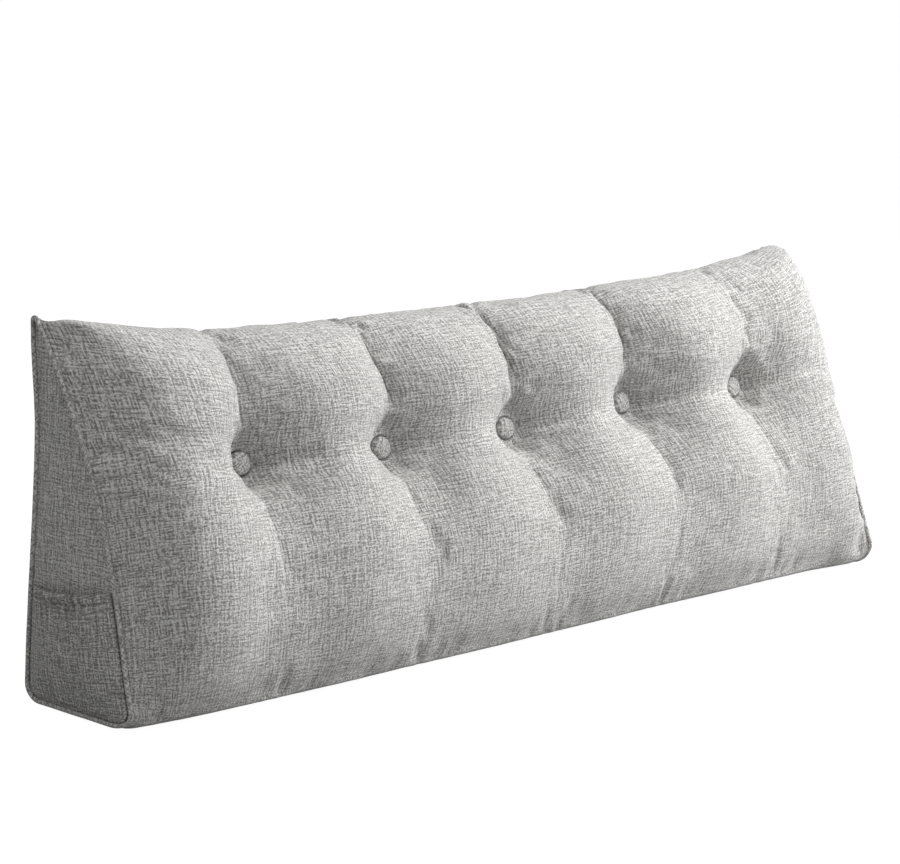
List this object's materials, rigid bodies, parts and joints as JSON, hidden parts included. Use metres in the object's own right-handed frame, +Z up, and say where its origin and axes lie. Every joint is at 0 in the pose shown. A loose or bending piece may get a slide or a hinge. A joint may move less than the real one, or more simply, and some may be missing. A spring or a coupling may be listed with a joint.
{
  "type": "wedge reading pillow",
  "caption": "Long wedge back-rest pillow with a button-tufted leaning face, corded end seams and a gathered pocket on one end.",
  "frame": {"origin": "middle of the flat base, on the surface that the pillow stands on", "axes": "+X along the pillow towards the end without a pocket, -Y out of the leaning face, +Z up"},
  "size_m": [1.5276, 0.273, 0.5035],
  "materials": {
    "linen": "heathered light grey slub weave, matte"
  },
  "bodies": {
    "root": {"cushion": "linen", "piping_left": "linen", "piping_right": "linen", "pocket": "linen", "button_1": "linen", "button_2": "linen", "button_3": "linen", "button_4": "linen", "button_5": "linen"}
  },
  "joints": []
}
